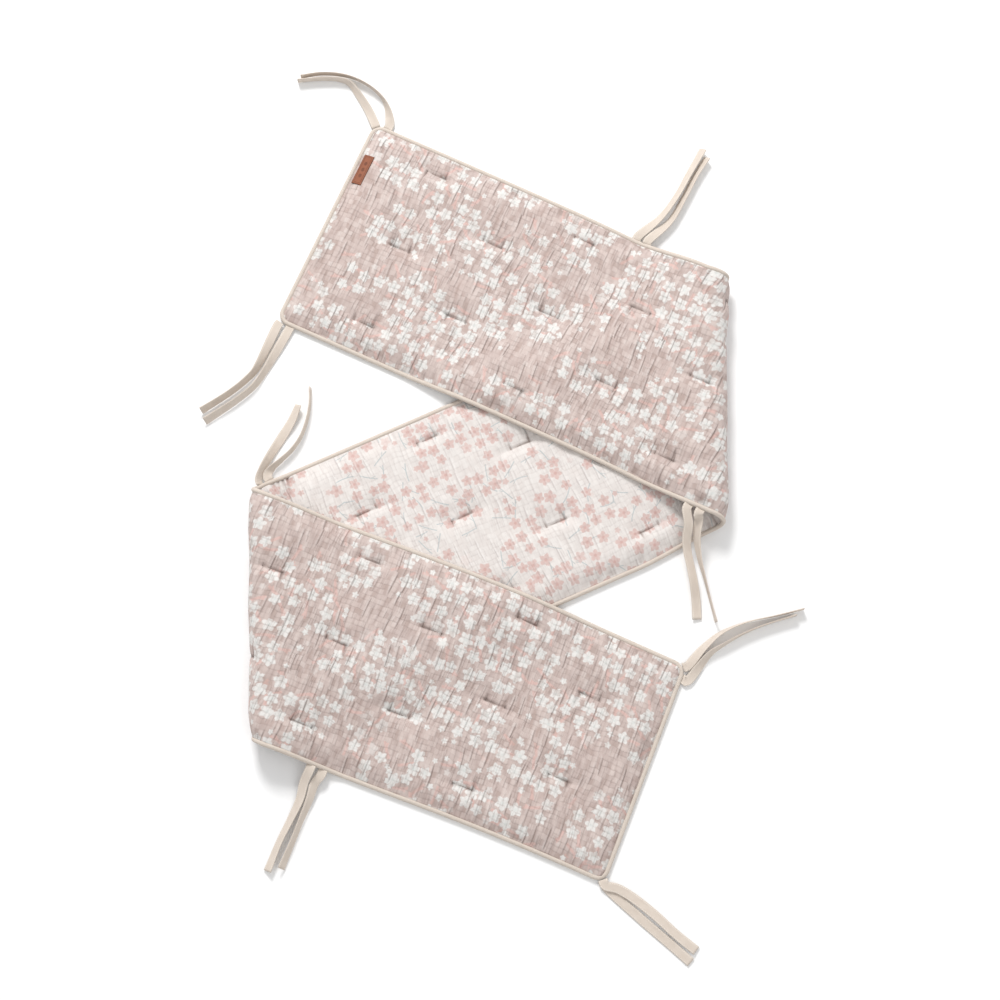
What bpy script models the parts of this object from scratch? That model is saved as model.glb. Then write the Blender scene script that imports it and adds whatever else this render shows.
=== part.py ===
"""A crib bumper: a quilted muslin strip with piping, tape ties and a leather tab, laid down in a flat Z.

The strip is drawn flat first: u runs along its length, v across it from the top edge to the bottom edge.
lay() then folds that sheet twice along slanting lines, so the middle leg lies on the ground with its
reverse up, and the two outer legs come back over it with their face up. Metres, +Z up.
"""

import math

import bmesh
import bpy
import numpy as np
from mathutils import Matrix, Vector

# The strip, cut and sewn
STRIP_LENGTH = 1.820
STRIP_WIDTH = 0.300
PIPING_RADIUS = 0.003
GAP = 0.0007  # between pieces that touch in the real thing
SEAM = 2 * PIPING_RADIUS + GAP  # from the outline to the padded panel's edge
CORNER_RADIUS = 0.010

# The padding's section
HALF_THICKNESS = 0.0065
SEAM_HALF = 0.0015
CROWN_WIDTH = 0.030  # the padding reaches its full height this far from the seam
SEAM_DROP = 0.0032  # the seam sags this far below the padding's middle
SAG_WIDTH = 0.025
CURL_WIDTH = 0.008  # the underside lifts off the ground this close to the seam

# Tufting stitches, staggered in five rows
TUFT_FIRST = 0.106  # from the left end to the first column
TUFT_PITCH = 0.1075
TUFT_ROWS = (0.033, 0.089, 0.145, 0.201, 0.257)
TUFT_LENGTH = 0.026
TUFT_DEPTH = 0.0035
TUFT_SPREAD = 0.020

# How the strip lies
LEG_ANGLE = math.radians(24.0)  # the middle leg's slope against the X axis
FOLD_RADIUS = 0.017
BEND = math.pi * FOLD_RADIUS
LAYER = 0.0142  # rise of a leg that lies on the middle leg
SETTLE = 0.100  # a fold's loop comes down over this distance
DRAPE_START = -0.030  # an outer leg begins to sink this far inside the middle leg's edge
DRAPE_WIDTH = 0.090
# Each fold: place along the strip, lean of its line, side, slip along the line, bow of the outer leg
FOLDS = (
    {
        "at": 0.610, "lean": math.radians(-0.4), "side": 1, "slip": 0.0060, "bow": -0.001,
        "shift": (-0.0076, 0.0040), "nip": (0.009, 0.0),
    },
    {
        "at": 1.243, "lean": math.radians(1.3), "side": -1, "slip": -0.0050, "bow": -0.009,
        "shift": (0.0, 0.0), "nip": (-0.005, -0.005),
    },
)
SLIP_FADE = 0.100
BOW_SPAN = 0.500
NIP_WIDTH = 0.080

# Leather tab, sewn to the face beside the left end
TAB_U = (0.0085, 0.0225)
TAB_V = (0.046, 0.089)
TAB_THICKNESS = 0.0014
TAB_LIFT = 0.0007

# Tape ties
TAPE_WIDTH = 0.012
TAPE_THICKNESS = 0.0016
TAPE_STEP = 0.013
TAPE_LEAD = 0.006  # a tail leaves the seam square to it for this length
# Each tail is sewn in at a place on the seam (u, v), leaves it in the sheet's direction out (du, dv),
# and starts a little above or below the seam's middle (rise), rolled about its own length (degrees).
# From there its middle runs over the route: x and y from the strip's middle, the height of its lower
# edge above the ground, and its roll in degrees.
TIES = {
    "tie_1_a": {
        "sewn": (0.0030, 0.0030), "out": (-1, -1), "rise": 0.0, "roll": 0,
        "route": (
            (-0.180, 0.538, 0.0004, 25), (-0.192, 0.557, 0.0004, 45), (-0.204, 0.573, 0.0004, 65),
            (-0.219, 0.579, 0.0004, 82), (-0.238, 0.580, 0.0004, 88), (-0.256, 0.579, 0.0004, 90),
            (-0.274, 0.577, 0.0004, 90),
        ),
    },
    "tie_1_b": {
        "sewn": (0.0190, -0.0014), "out": (0, -1), "rise": 0.0, "roll": 0,
        "route": (
            (-0.153, 0.536, 0.0004, 50), (-0.161, 0.553, 0.0004, 80), (-0.176, 0.568, 0.0004, 90),
            (-0.197, 0.580, 0.0004, 92), (-0.220, 0.586, 0.0004, 90), (-0.244, 0.587, 0.0004, 90),
            (-0.270, 0.583, 0.0004, 90),
        ),
    },
    "tie_2_a": {
        "sewn": (0.0062, 0.3014), "out": (-0.2, 1), "rise": 0.0, "roll": 0,
        "route": (
            (-0.319, 0.183, 0.0004, 50), (-0.334, 0.164, 0.0004, 60), (-0.353, 0.148, 0.0004, 62),
            (-0.372, 0.135, 0.0004, 60), (-0.391, 0.123, 0.0004, 55),
        ),
    },
    "tie_2_b": {
        "sewn": (0.0208, 0.3014), "out": (0, 1), "rise": 0.0, "roll": 0,
        "route": (
            (-0.308, 0.179, 0.0004, 50), (-0.323, 0.156, 0.0004, 60), (-0.345, 0.137, 0.0004, 60),
            (-0.365, 0.123, 0.0004, 52), (-0.386, 0.109, 0.0004, 45),
        ),
    },
    "tie_3_a": {
        "sewn": (0.3838, -0.0014), "out": (0, -1), "rise": 0.0, "roll": 0,
        "route": (
            (0.208, 0.386, 0.0004, 40), (0.230, 0.416, 0.0004, 48), (0.248, 0.449, 0.0004, 45),
            (0.266, 0.481, 0.0004, 40),
        ),
    },
    "tie_3_b": {
        "sewn": (0.3984, -0.0014), "out": (0, -1), "rise": 0.0, "roll": 0,
        "route": (
            (0.221, 0.381, 0.0006, 42), (0.240, 0.414, 0.0004, 50), (0.256, 0.445, 0.0004, 50),
            (0.271, 0.469, 0.0004, 45),
        ),
    },
    "tie_4_a": {
        "sewn": (0.5900, 0.3014), "out": (0, 1), "rise": 0.0, "roll": 0,
        "route": (
            (0.236, -0.032, 0.0300, 0), (0.234, -0.048, 0.0210, 10), (0.235, -0.064, 0.0140, 20),
            (0.239, -0.083, 0.0105, 25), (0.243, -0.104, 0.0085, 20), (0.246, -0.128, 0.0030, 10),
            (0.247, -0.150, 0.0004, 8),
        ),
    },
    "tie_4_b": {
        "sewn": (0.6060, 0.3016), "out": (0, 1), "rise": 0.0, "roll": 0,
        "route": (
            (0.249, -0.026, 0.0300, -15), (0.247, -0.042, 0.0210, -35), (0.248, -0.058, 0.0130, -55),
            (0.251, -0.076, 0.0095, -70), (0.256, -0.096, 0.0085, -80), (0.263, -0.123, 0.0030, -85),
            (0.271, -0.154, 0.0004, -85),
        ),
    },
    "tie_5_a": {
        "sewn": (1.1870, -0.0014), "out": (0, -1), "rise": 0.0, "roll": -45,
        "route": (
            (-0.309, 0.047, 0.0030, -50), (-0.299, 0.066, 0.0010, -35), (-0.286, 0.088, 0.0006, -10),
            (-0.274, 0.109, 0.0004, 20), (-0.265, 0.131, 0.0004, 45),
        ),
    },
    "tie_5_b": {
        "sewn": (1.1720, -0.0014), "out": (0, -1), "rise": 0.0, "roll": -5,
        "route": (
            (-0.297, 0.047, 0.0006, -55), (-0.285, 0.058, 0.0004, -72), (-0.272, 0.071, 0.0004, -76),
            (-0.261, 0.088, 0.0004, -78), (-0.254, 0.108, 0.0004, -80), (-0.250, 0.131, 0.0004, -82),
            (-0.250, 0.154, 0.0004, -82),
        ),
    },
    "tie_6_a": {
        "sewn": (1.4260, 0.3012), "out": (0, 1), "rise": 0.0, "roll": 0,
        "route": (
            (-0.249, -0.358, 0.0100, -10), (-0.254, -0.378, 0.0045, -25), (-0.265, -0.402, 0.0010, -40),
            (-0.279, -0.431, 0.0004, -45), (-0.293, -0.467, 0.0004, -35),
        ),
    },
    "tie_6_b": {
        "sewn": (1.4410, 0.3012), "out": (0, 1), "rise": 0.0, "roll": 0,
        "route": (
            (-0.236, -0.359, 0.0060, 25), (-0.242, -0.379, 0.0030, 45), (-0.252, -0.404, 0.0010, 60),
            (-0.264, -0.435, 0.0004, 60), (-0.276, -0.464, 0.0004, 50),
        ),
    },
    "tie_7_a": {
        "sewn": (1.8170, 0.0030), "out": (1, -1), "rise": 0.0, "roll": 0,
        "route": (
            (0.254, -0.187, 0.0004, 40), (0.278, -0.167, 0.0004, 65), (0.310, -0.154, 0.0004, 80),
            (0.347, -0.146, 0.0004, 88), (0.383, -0.137, 0.0004, 88),
        ),
    },
    "tie_7_b": {
        "sewn": (1.8216, 0.0175), "out": (1, -0.1), "rise": 0.0, "roll": 0,
        "route": (
            (0.261, -0.196, 0.0004, -55), (0.280, -0.183, 0.0004, -75), (0.305, -0.169, 0.0004, -86),
            (0.334, -0.157, 0.0004, -92), (0.373, -0.145, 0.0004, -92),
        ),
    },
    "tie_8_a": {
        "sewn": (1.8170, 0.2970), "out": (1, 1), "rise": 0.0012, "roll": 0,
        "route": (
            (0.144, -0.489, 0.0028, 0), (0.165, -0.502, 0.0028, 4), (0.190, -0.522, 0.0022, 10),
            (0.214, -0.544, 0.0012, 12), (0.239, -0.564, 0.0004, 8),
        ),
    },
    "tie_8_b": {
        "sewn": (1.8170, 0.2970), "out": (1, 1), "rise": -0.0011, "roll": 0,
        "route": (
            (0.137, -0.495, 0.0004, 0), (0.156, -0.512, 0.0004, 0), (0.181, -0.534, 0.0004, 0),
            (0.207, -0.556, 0.0004, 0), (0.232, -0.578, 0.0004, 0),
        ),
    },
}

# Mesh fineness
PLAIN_STEPS = 4  # columns to a tuft pitch on the legs
FOLD_STEPS = 12  # and in the folds
PIPING_SIDES = 6


def smooth(t):
    """An S-curve from 0 to 1."""
    t = np.clip(t, 0.0, 1.0)
    return t * t * (3.0 - 2.0 * t)


def reach_past_fold(fold, flat):
    """How far points of the unfolded sheet lie past a fold's line, and the line's outward direction."""
    out = fold["side"] * np.array([math.cos(fold["lean"]), math.sin(fold["lean"])])
    along = np.array([-math.cos(LEG_ANGLE), -math.sin(LEG_ANGLE)])
    on_line = (fold["at"] - STRIP_LENGTH / 2) * along
    return (flat - on_line) @ out, out


def lay(u, v):
    """Where the sheet's middle lies, how flat it lies (0 in a fold), and how far it has turned over."""
    u, v = np.broadcast_arrays(np.asarray(u, float), np.asarray(v, float))
    along = np.array([-math.cos(LEG_ANGLE), -math.sin(LEG_ANGLE)])
    across = np.array([math.sin(LEG_ANGLE), -math.cos(LEG_ANGLE)])
    flat = (u - STRIP_LENGTH / 2)[..., None] * along + (v - STRIP_WIDTH / 2)[..., None] * across
    place = np.concatenate([flat, np.full(u.shape + (1,), HALF_THICKNESS)], axis=-1)
    level = np.ones(u.shape)
    turned = np.zeros(u.shape)
    for fold in FOLDS:
        past, out = reach_past_fold(fold, flat)
        level = np.minimum(level, smooth(-past / (0.4 * SETTLE)))
        turned = np.maximum(turned, smooth(past / BEND))
        back = across - 2 * (across @ out) * out
        angle = np.clip(past / FOLD_RADIUS, 0.0, math.pi)
        beyond = np.clip(past - BEND, 0.0, None)
        reach = np.where(past > 0, FOLD_RADIUS * np.sin(angle) - beyond, past)
        slip = fold["slip"] * smooth(past / BEND) * np.exp(-((beyond / SLIP_FADE) ** 2))
        bow = fold["bow"] * np.sin(np.pi * np.clip(beyond / BOW_SPAN, 0.0, 1.2))
        nip = fold["nip"][0] + (fold["nip"][1] - fold["nip"][0]) * smooth(v / NIP_WIDTH)
        reach = reach + nip * np.where(past > 0, np.sin(angle), 0.0)
        tucked = smooth((past + SETTLE) / SETTLE)[..., None] * np.array(fold["shift"])
        spot = flat + (reach - past)[..., None] * out + (slip + bow)[..., None] * back
        over = spot @ across + STRIP_WIDTH / 2
        outside = -over if fold["side"] > 0 else over - STRIP_WIDTH
        drape = 1.0 - smooth((outside - DRAPE_START) / DRAPE_WIDTH)
        settled = smooth(beyond / SETTLE)
        rise = (1 - settled) * 2 * FOLD_RADIUS + settled * LAYER * drape
        rise = np.where(beyond > 0, rise, FOLD_RADIUS * (1 - np.cos(angle)))
        place[..., :2] += tucked
        spot = spot + tucked
        moved = past > 0
        place[moved, :2] = spot[moved]
        place[moved, 2] = HALF_THICKNESS + rise[moved]
        level = np.where(beyond > 0, settled, level)
    return place, level, turned


def face_normal(u, v):
    """The direction from the sheet's middle to its face side."""
    step = 0.0005
    du = lay(u + step, v)[0] - lay(u - step, v)[0]
    dv = lay(u, v + step)[0] - lay(u, v - step)[0]
    normal = np.cross(dv, du)
    return normal / np.linalg.norm(normal, axis=-1, keepdims=True)


def seam_distance(u, v):
    """How far a point of the panel is from its nearest seam."""
    ends = np.minimum(u - SEAM, STRIP_LENGTH - SEAM - u)
    sides = np.minimum(v - SEAM, STRIP_WIDTH - SEAM - v)
    return np.clip(np.minimum(ends, sides), 0.0, None)


def tuft_places():
    """The middles of the tufting stitches, as (u, v)."""
    places = []
    column = 0
    while TUFT_FIRST + column * TUFT_PITCH < STRIP_LENGTH - 0.05:
        for v in TUFT_ROWS[column % 2 :: 2]:
            places.append((TUFT_FIRST + column * TUFT_PITCH, v))
        column += 1
    return places


def tuft_dent(u, v):
    """How far the tufting pulls the padding in, from 0 to 1."""
    dent = np.zeros(np.shape(u))
    for tuft_u, tuft_v in tuft_places():
        from_line = np.clip(np.abs(u - tuft_u) - TUFT_LENGTH / 2, 0.0, None)
        dent = np.maximum(dent, np.exp(-(from_line**2 + (v - tuft_v) ** 2) / TUFT_SPREAD**2))
    return dent


def sagged(u, v):
    """The sheet's middle with its seams sagging, plus how level and how turned it is there."""
    place, level, turned = lay(u, v)
    sag = SEAM_DROP * (1 - smooth(seam_distance(u, v) / SAG_WIDTH)) * level
    place = place.copy()
    place[..., 2] -= sag
    return place, level, turned, sag


def section(u, v):
    """The padding's height above and below the sheet's middle."""
    from_seam = seam_distance(u, v)
    full = 1 - (1 - np.clip(from_seam / CROWN_WIDTH, 0.0, 1.0)) ** 2
    upper = SEAM_HALF + (HALF_THICKNESS - SEAM_HALF) * full - TUFT_DEPTH * tuft_dent(u, v) * full
    _, level, _, sag = sagged(u, v)
    curl = np.clip(1 - from_seam / CURL_WIDTH, 0.0, 1.0) ** 2
    resting = (HALF_THICKNESS - sag) * (1 - curl) + SEAM_HALF * curl
    return upper, level * resting + (1 - level) * upper


def panel_sides(u, v):
    """Points of the panel's face and of its reverse."""
    place, _, turned, _ = sagged(u, v)
    upper, lower = section(u, v)
    normal = face_normal(u, v)
    face = place + normal * (lower + (upper - lower) * turned)[..., None]
    reverse = place - normal * (upper + (lower - upper) * turned)[..., None]
    return face, reverse


def along_samples():
    """Where the panel's columns are: in step with the tufting, and closer together in the folds."""
    lean = STRIP_WIDTH / 2 * math.tan(LEG_ANGLE)
    bend_length = BEND / math.cos(LEG_ANGLE)
    first, second = (fold["at"] for fold in FOLDS)
    close = (
        (first - lean - bend_length, first + lean),
        (second - lean, second + lean + bend_length),
    )
    fine = TUFT_PITCH / FOLD_STEPS
    every = FOLD_STEPS // PLAIN_STEPS
    samples = []
    start = -round(TUFT_FIRST / fine)
    for k in range(start, round((STRIP_LENGTH - TUFT_FIRST) / fine) + 1):
        u = TUFT_FIRST + k * fine
        in_fold = any(low - fine < u < high + fine for low, high in close)
        if (k % every == 0 or in_fold) and SEAM + 0.020 < u < STRIP_LENGTH - SEAM - 0.020:
            samples.append(u)
    edge = [0.0, CORNER_RADIUS, 0.020]
    left = [SEAM + d for d in edge]
    right = [STRIP_LENGTH - SEAM - d for d in reversed(edge)]
    return np.array(left + samples + right)


def across_samples():
    """Where the panel's rows are: on the tufting rows and half way between them."""
    rows = sorted(TUFT_ROWS + tuple((a + b) / 2 for a, b in zip(TUFT_ROWS, TUFT_ROWS[1:])))
    edge = [0.0, CORNER_RADIUS]
    left = [SEAM + d for d in edge]
    right = [STRIP_WIDTH - SEAM - d for d in reversed(edge)]
    return np.array(left + rows + right)


def round_corners(u, v):
    """Turns the sheet's square corners into quarter circles."""
    r = CORNER_RADIUS
    middle_u, middle_v = STRIP_LENGTH / 2, STRIP_WIDTH / 2
    a = np.clip((np.abs(u - middle_u) - (middle_u - SEAM - r)) / r, 0.0, 1.0)
    b = np.clip((np.abs(v - middle_v) - (middle_v - SEAM - r)) / r, 0.0, 1.0)
    new_a = a * np.sqrt(1 - b**2 / 2)
    new_b = b * np.sqrt(1 - a**2 / 2)
    u = u + np.sign(u - middle_u) * (new_a - a) * r
    v = v + np.sign(v - middle_v) * (new_b - b) * r
    return u, v


def add_object(name, verts, faces, material):
    """A closed mesh object with its faces pointing out."""
    mesh = bpy.data.meshes.new(name)
    mesh.from_pydata([tuple(map(float, p)) for p in verts], [], faces)
    bm = bmesh.new()
    bm.from_mesh(mesh)
    bmesh.ops.triangulate(bm, faces=[f for f in bm.faces if len(f.verts) > 3])
    bmesh.ops.recalc_face_normals(bm, faces=bm.faces)
    bm.to_mesh(mesh)
    bm.free()
    mesh.shade_smooth()
    mesh.set_sharp_from_angle(angle=math.radians(50))
    mesh.materials.append(material)
    obj = bpy.data.objects.new(name, mesh)
    bpy.context.collection.objects.link(obj)
    return obj


def add_slab(name, upper, lower, material):
    """A closed solid between two grids of points of the same size."""
    rows, columns = upper.shape[:2]
    index = np.arange(rows * columns).reshape(rows, columns)
    below = index + rows * columns
    faces = []
    for i in range(rows - 1):
        for j in range(columns - 1):
            a, b, c, d = index[i, j], index[i + 1, j], index[i + 1, j + 1], index[i, j + 1]
            faces += [(a, b, c), (a, c, d)]
            e, f, g, h = below[i, j], below[i + 1, j], below[i + 1, j + 1], below[i, j + 1]
            faces += [(e, g, f), (e, h, g)]
    rim = list(index[0, :-1]) + list(index[:-1, -1]) + list(index[-1, :0:-1]) + list(index[:0:-1, 0])
    for a, b in zip(rim, rim[1:] + rim[:1]):
        faces.append((a, b, b + rows * columns, a + rows * columns))
    verts = np.concatenate([upper.reshape(-1, 3), lower.reshape(-1, 3)])
    return add_object(name, verts, [tuple(map(int, f)) for f in faces], material)


def add_panel(material):
    """The padded panel, folded twice, as one filled solid."""
    u, v = np.meshgrid(along_samples(), across_samples(), indexing="ij")
    u, v = round_corners(u, v)
    face, reverse = panel_sides(u, v)
    return add_slab("panel", face, reverse, material)


def piping_route():
    """The piping's middle line round the strip, as (u, v) points of one closed loop."""
    inset = PIPING_RADIUS
    r = CORNER_RADIUS + SEAM - inset
    lengthwise = [u for u in along_samples() if SEAM + r < u < STRIP_LENGTH - SEAM - r]
    rows = [v for v in across_samples() if SEAM + r < v < STRIP_WIDTH - SEAM - r]
    route = [(u, inset) for u in lengthwise]
    corners = (
        (STRIP_LENGTH - inset - r, inset + r, -90),
        (STRIP_LENGTH - inset - r, STRIP_WIDTH - inset - r, 0),
        (inset + r, STRIP_WIDTH - inset - r, 90),
        (inset + r, inset + r, 180),
    )
    sides = (
        [(STRIP_LENGTH - inset, v) for v in rows],
        [(u, STRIP_WIDTH - inset) for u in reversed(lengthwise)],
        [(inset, v) for v in reversed(rows)],
        [],
    )
    for (corner_u, corner_v, start), side in zip(corners, sides):
        for step in range(5):
            angle = math.radians(start + 22.5 * step)
            reach = r / math.cos(math.radians(11.25))
            route.append((corner_u + reach * math.cos(angle), corner_v + reach * math.sin(angle)))
        route += side
    return np.array(route)


def add_piping(material):
    """A round cord sewn into the seam all the way round."""
    route = piping_route()
    middle, _, _, _ = sagged(route[:, 0], route[:, 1])
    normal = face_normal(route[:, 0], route[:, 1])
    tangent = np.roll(middle, -1, axis=0) - np.roll(middle, 1, axis=0)
    tangent /= np.linalg.norm(tangent, axis=1, keepdims=True)
    side = np.cross(tangent, normal)
    side /= np.linalg.norm(side, axis=1, keepdims=True)
    upward = np.cross(side, tangent)
    count = len(route)
    turns = np.arange(PIPING_SIDES) * 2 * math.pi / PIPING_SIDES
    ring = PIPING_RADIUS * (
        np.cos(turns)[None, :, None] * side[:, None] + np.sin(turns)[None, :, None] * upward[:, None]
    )
    verts = (middle[:, None] + ring).reshape(-1, 3)
    faces = []
    for i in range(count):
        for j in range(PIPING_SIDES):
            here, beyond = i * PIPING_SIDES, (i + 1) % count * PIPING_SIDES
            k = (j + 1) % PIPING_SIDES
            faces.append((here + j, here + k, beyond + k, beyond + j))
    return add_object("piping", verts, faces, material)


def add_tab(material):
    """The leather tab that lies on the face beside the left end."""
    u, v = np.meshgrid(np.linspace(*TAB_U, 4), np.linspace(*TAB_V, 5), indexing="ij")
    face, _ = panel_sides(u, v)
    normal = face_normal(u, v)
    return add_slab("tab", face + normal * (TAB_LIFT + TAB_THICKNESS), face + normal * TAB_LIFT, material)


def tape_route(tie):
    """A tail's middle line at even steps, as rows of x, y, z, roll and the way it runs."""
    seam = np.array(tie["sewn"])
    inside = seam - 0.005 * np.array(tie["out"])
    sewn = sagged(seam[0], seam[1])[0] + (0.0, 0.0, tie["rise"])
    out = (sewn - sagged(inside[0], inside[1])[0]) * (1.0, 1.0, 0.0)
    lead = sewn + TAPE_LEAD * out / np.linalg.norm(out)
    rows = [(*sewn, math.radians(tie["roll"])), (*lead, math.radians(tie["roll"]))]
    for x, y, lower, roll in tie["route"]:
        turn = math.radians(roll)
        half = TAPE_WIDTH / 2 * abs(math.sin(turn)) + TAPE_THICKNESS / 2 * math.cos(turn)
        rows.append((x, y, lower + half, turn))
    knots = np.array(rows)
    padded = np.concatenate([[2 * knots[0] - knots[1]], knots, [2 * knots[-1] - knots[-2]]])
    fine = []
    for p0, p1, p2, p3 in zip(padded, padded[1:], padded[2:], padded[3:]):
        for t in np.arange(0, 1, 0.05):
            bend = (2 * p0 - 5 * p1 + 4 * p2 - p3) * t**2 + (3 * p1 - 3 * p2 + p3 - p0) * t**3
            fine.append(0.5 * (2 * p1 + (p2 - p0) * t + bend))
    fine = np.array(fine + [knots[-1]])
    fine = np.concatenate([fine, np.gradient(fine[:, :3], axis=0)], axis=1)
    reached = np.concatenate([[0], np.cumsum(np.linalg.norm(np.diff(fine[:, :3], axis=0), axis=1))])
    stops = np.linspace(0, reached[-1], round(reached[-1] / TAPE_STEP) + 1)
    return np.stack([np.interp(stops, reached, column) for column in fine.T], axis=1)


def add_tape(name, tie, material):
    """One free tail of a tie: a flat tape with square ends."""
    route = tape_route(tie)
    tangent = route[:, 4:] / np.linalg.norm(route[:, 4:], axis=1, keepdims=True)
    level = np.cross(tangent, (0.0, 0.0, 1.0))
    level /= np.linalg.norm(level, axis=1, keepdims=True)
    upward = np.cross(level, tangent)
    turn = route[:, 3:4]
    side = level * np.cos(turn) + upward * np.sin(turn)
    top = upward * np.cos(turn) - level * np.sin(turn)
    verts = []
    for place, s, t in zip(route[:, :3], side * TAPE_WIDTH / 2, top * TAPE_THICKNESS / 2):
        verts += [place - s - t, place + s - t, place + s + t, place - s + t]
    faces = [(0, 1, 2, 3), tuple(len(verts) - k for k in (1, 2, 3, 4))]
    for i in range(0, len(verts) - 4, 4):
        for j in range(4):
            k = (j + 1) % 4
            faces.append((i + j, i + k, i + 4 + k, i + 4 + j))
    return add_object(name, verts, faces, material)


def add_material(name, color, roughness):
    material = bpy.data.materials.new(name)
    material.use_nodes = True
    shader = material.node_tree.nodes["Principled BSDF"]
    shader.inputs["Base Color"].default_value = (*color, 1.0)
    shader.inputs["Roughness"].default_value = roughness
    shader.inputs["Metallic"].default_value = 0.0
    return material


def main():
    for obj in list(bpy.data.objects):
        bpy.data.objects.remove(obj, do_unlink=True)
    muslin = add_material("muslin", (0.62, 0.50, 0.46), 0.9)
    trim = add_material("trim", (0.74, 0.66, 0.56), 0.85)
    tape = add_material("tape", (0.70, 0.60, 0.51), 0.85)
    leather = add_material("leather", (0.28, 0.10, 0.045), 0.6)
    pieces = [add_panel(muslin), add_piping(trim), add_tab(leather)]
    pieces += [add_tape(name, tie, tape) for name, tie in TIES.items()]
    # Stand it on the ground with the bounding box of the bumper, without its ties, on the origin
    points = np.array([tuple(vert.co) for obj in pieces[:3] for vert in obj.data.vertices])
    low, high = points.min(axis=0), points.max(axis=0)
    shift = Vector((-(low[0] + high[0]) / 2, -(low[1] + high[1]) / 2, -low[2]))
    for obj in pieces:
        obj.data.transform(Matrix.Translation(shift))


main()
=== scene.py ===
"""How the crib bumper looks: the folded quilt with its printed muslin, piping, tab, tufting and tape ties.

The strip is described flat, u along it and v across it from the top edge, and lay() folds it as the CAD
part does. The cloth's print and crinkles are drawn in those flat coordinates. Metres, +Z up.
"""

import math

import bmesh
import bpy
import numpy as np
from mathutils import Matrix, Vector


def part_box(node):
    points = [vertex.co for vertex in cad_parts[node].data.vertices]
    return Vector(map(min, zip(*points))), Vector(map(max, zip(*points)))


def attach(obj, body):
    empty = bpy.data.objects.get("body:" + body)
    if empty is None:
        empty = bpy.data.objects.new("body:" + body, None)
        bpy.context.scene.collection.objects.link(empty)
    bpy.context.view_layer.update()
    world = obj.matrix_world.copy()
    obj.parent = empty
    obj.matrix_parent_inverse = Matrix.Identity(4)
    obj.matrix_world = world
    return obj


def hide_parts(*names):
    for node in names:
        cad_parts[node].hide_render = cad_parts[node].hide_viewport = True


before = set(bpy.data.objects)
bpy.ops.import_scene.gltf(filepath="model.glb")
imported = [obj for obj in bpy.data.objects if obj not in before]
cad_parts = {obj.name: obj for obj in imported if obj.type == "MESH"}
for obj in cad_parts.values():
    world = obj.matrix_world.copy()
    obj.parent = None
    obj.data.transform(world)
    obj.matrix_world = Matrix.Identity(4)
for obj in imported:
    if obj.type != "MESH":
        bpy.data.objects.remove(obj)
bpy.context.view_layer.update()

# The strip and how it lies, as in the CAD part
STRIP_LENGTH = 1.820
STRIP_WIDTH = 0.300
PIPING_RADIUS = 0.003
CORNER_RADIUS = 0.010
HALF_THICKNESS = 0.0065
SEAM_HALF = 0.0015
CROWN_WIDTH = 0.030
SEAM_DROP = 0.0032
SAG_WIDTH = 0.025
CURL_WIDTH = 0.008
LEG_ANGLE = math.radians(24.0)
ALONG = np.array([-math.cos(LEG_ANGLE), -math.sin(LEG_ANGLE)])
ACROSS = np.array([math.sin(LEG_ANGLE), -math.cos(LEG_ANGLE)])
FOLD_RADIUS = 0.017
BEND = math.pi * FOLD_RADIUS
LAYER = 0.0142
SETTLE = 0.100
DRAPE_START = -0.030
DRAPE_WIDTH = 0.090
FOLDS = (
    {
        "at": 0.610, "lean": math.radians(-0.4), "side": 1, "slip": 0.0060, "bow": -0.001,
        "shift": (-0.0076, 0.0040), "nip": (0.009, 0.0),
    },
    {
        "at": 1.243, "lean": math.radians(1.3), "side": -1, "slip": -0.0050, "bow": -0.009,
        "shift": (0.0, 0.0), "nip": (-0.005, -0.005),
    },
)
SLIP_FADE = 0.100
BOW_SPAN = 0.500
NIP_WIDTH = 0.080

# The panel's edge is tucked under the piping, so that no light shows through the seam
SEAM = 0.0052

# Tufting stitches, staggered in five rows
TUFT_FIRST = 0.106
TUFT_PITCH = 0.1075
TUFT_ROWS = (0.033, 0.089, 0.145, 0.201, 0.257)
TUFT_END = 0.05  # free of stitches at the strip's far end
TUFT_LENGTH = 0.026
TUFT_DIMPLE = 0.0046  # the broad hollow round a stitch
TUFT_SPREAD = 0.018
TUFT_GROOVE = 0.0034  # and the narrow one along it
GROOVE_WIDTH = 0.0016
TUFT_NEAR = 0.07  # further off than this a stitch pulls nothing in
SPOKES = 9  # small folds round each hollow
SPOKE_DEPTH = 0.20
CREASE_WIDTH = 0.0017  # the creases that leave a stitch's two ends
LONG_CREASE = (0.018, 0.034)
SHORT_CREASE = (0.008, 0.016)
CREASE_LEAN = 0.15

# How high the padding's puffs and the cloth's crinkles and pleats stand
PUFF_HEIGHT = 0.0036
CRINKLE_HEIGHT = 0.0011
SEAM_PLEAT_HEIGHT = 0.0022
GATHER_DEPTH = 0.0030

# Pleats on the reverse beside the folds, painted with shade along their valleys: where each starts, on which
# edge, its lean, depth and length
PLEATS = (
    (1.1485, 0.0, 0.27, 1.00, 0.060),
    (1.1550, 0.0, 0.25, 0.80, 0.050),
    (1.1615, 0.0, 0.20, 0.70, 0.045),
    (1.1690, 0.0, 0.15, 0.60, 0.040),
    (0.6640, STRIP_WIDTH, 0.10, 0.80, 0.090),
    (0.6740, STRIP_WIDTH, 0.30, 0.60, 0.110),
    (0.6860, STRIP_WIDTH, 0.50, 0.60, 0.120),
    (0.6980, STRIP_WIDTH, 0.65, 0.50, 0.140),
)
PLEAT_WIDTH = 0.0024

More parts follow.
